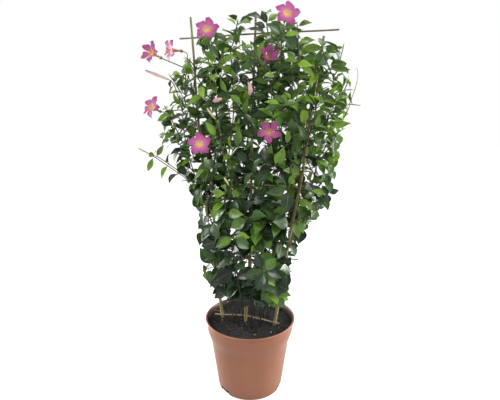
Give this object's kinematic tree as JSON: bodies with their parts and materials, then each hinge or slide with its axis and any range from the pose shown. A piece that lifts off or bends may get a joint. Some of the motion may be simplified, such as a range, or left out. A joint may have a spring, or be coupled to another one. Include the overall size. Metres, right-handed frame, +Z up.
{
  "type": "potted mandevilla",
  "caption": "Flowering mandevilla in a round plastic pot of compost, its leafy stems trained up a fan trellis of canes and cross rungs.",
  "frame": {"origin": "centre of the pot's foot, on the floor", "axes": "+Z up; the trellis stands in the XZ plane with its front towards -Y; +X is to the right seen from the front"},
  "size_m": [0.4925, 0.2838, 0.9279],
  "materials": {
    "pot_plastic": "satin moulded terracotta-coloured plastic",
    "compost": "dark, crumbly compost",
    "cane_skin": "reddish-tan cane skin",
    "rung_wood": "pale bare stick",
    "wire_metal": "dull thin wire",
    "leaf_green": "glossy dark green leaf",
    "petal_pink": "soft pink petal",
    "faded_pink": "soft faded petal",
    "bud_skin": "pale cream and green skin"
  },
  "bodies": {
    "root": {"pot": "pot_plastic", "soil": "compost", "cane_left": "cane_skin", "cane_middle": "cane_skin", "cane_right": "cane_skin", "rung_1": "rung_wood", "rung_2": "rung_wood", "rung_3": "rung_wood", "rung_4": "rung_wood", "rung_5": "rung_wood", "rung_wire": "wire_metal", "leafy_stem_01": "leaf_green", "leafy_stem_02": "leaf_green", "leafy_stem_03": "leaf_green", "leafy_stem_04": "leaf_green", "leafy_stem_05": "leaf_green", "leafy_stem_06": "leaf_green", "leafy_stem_07": "leaf_green", "leafy_stem_08": "leaf_green", "leafy_stem_09": "leaf_green", "leafy_stem_10": "leaf_green", "leafy_stem_11": "leaf_green", "leafy_stem_12": "leaf_green", "leafy_stem_13": "leaf_green", "bloom_1": "petal_pink", "bloom_2": "petal_pink", "bloom_3": "petal_pink", "bloom_4": "petal_pink", "bloom_5": "petal_pink", "bloom_6": "petal_pink", "bloom_7": "petal_pink", "bloom_8": "petal_pink", "faded_bloom_1": "faded_pink", "faded_bloom_2": "faded_pink", "bud_1": "bud_skin", "bud_2": "bud_skin", "bud_3": "bud_skin", "bud_4": "bud_skin"}
  },
  "joints": []
}
